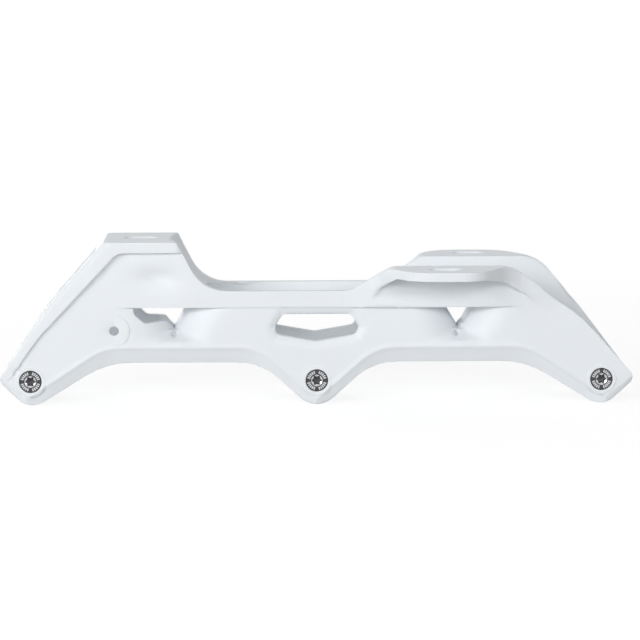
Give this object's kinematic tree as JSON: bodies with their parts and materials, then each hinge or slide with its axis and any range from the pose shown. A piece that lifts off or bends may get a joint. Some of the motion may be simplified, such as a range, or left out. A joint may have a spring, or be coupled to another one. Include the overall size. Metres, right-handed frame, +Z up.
{
  "type": "inline skate frame",
  "caption": "Cast inline skate frame for large wheels, with a raised slotted rear deck, staggered slotted front wings, open wheel bays and screw-in axles.",
  "frame": {"origin": "on the middle plane under the middle axle, level with the lowest points of the axle lobes", "axes": "+X to the toe, +Y to the inner side of the foot (a right boot's left side), +Z up to the boot"},
  "size_m": [0.2827, 0.091, 0.0733],
  "materials": {
    "white_paint": "satin white powder paint over a magnesium casting",
    "black_axle": "black oxide steel, bare and bright in the driver socket and along the shank",
    "bush_steel": "turned steel",
    "insert_steel": "zinc plated steel"
  },
  "bodies": {
    "frame": {"frame_casting": "white_paint", "axle_bush_rear": "bush_steel", "axle_bush_middle": "bush_steel", "axle_bush_front": "bush_steel", "thread_insert_rear": "insert_steel", "thread_insert_middle": "insert_steel", "thread_insert_front": "insert_steel"},
    "rear_axle": {"axle_rear": "black_axle"},
    "middle_axle": {"axle_middle": "black_axle"},
    "front_axle": {"axle_front": "black_axle"}
  },
  "joints": [
    {"name": "rear_axle_slide", "type": "slide", "parent": "frame", "child": "rear_axle", "axis": [0, -1, 0], "range_m": [0, 0.031]},
    {"name": "middle_axle_slide", "type": "slide", "parent": "frame", "child": "middle_axle", "axis": [0, -1, 0], "range_m": [0, 0.031]},
    {"name": "front_axle_slide", "type": "slide", "parent": "frame", "child": "front_axle", "axis": [0, -1, 0], "range_m": [0, 0.031]}
  ]
}
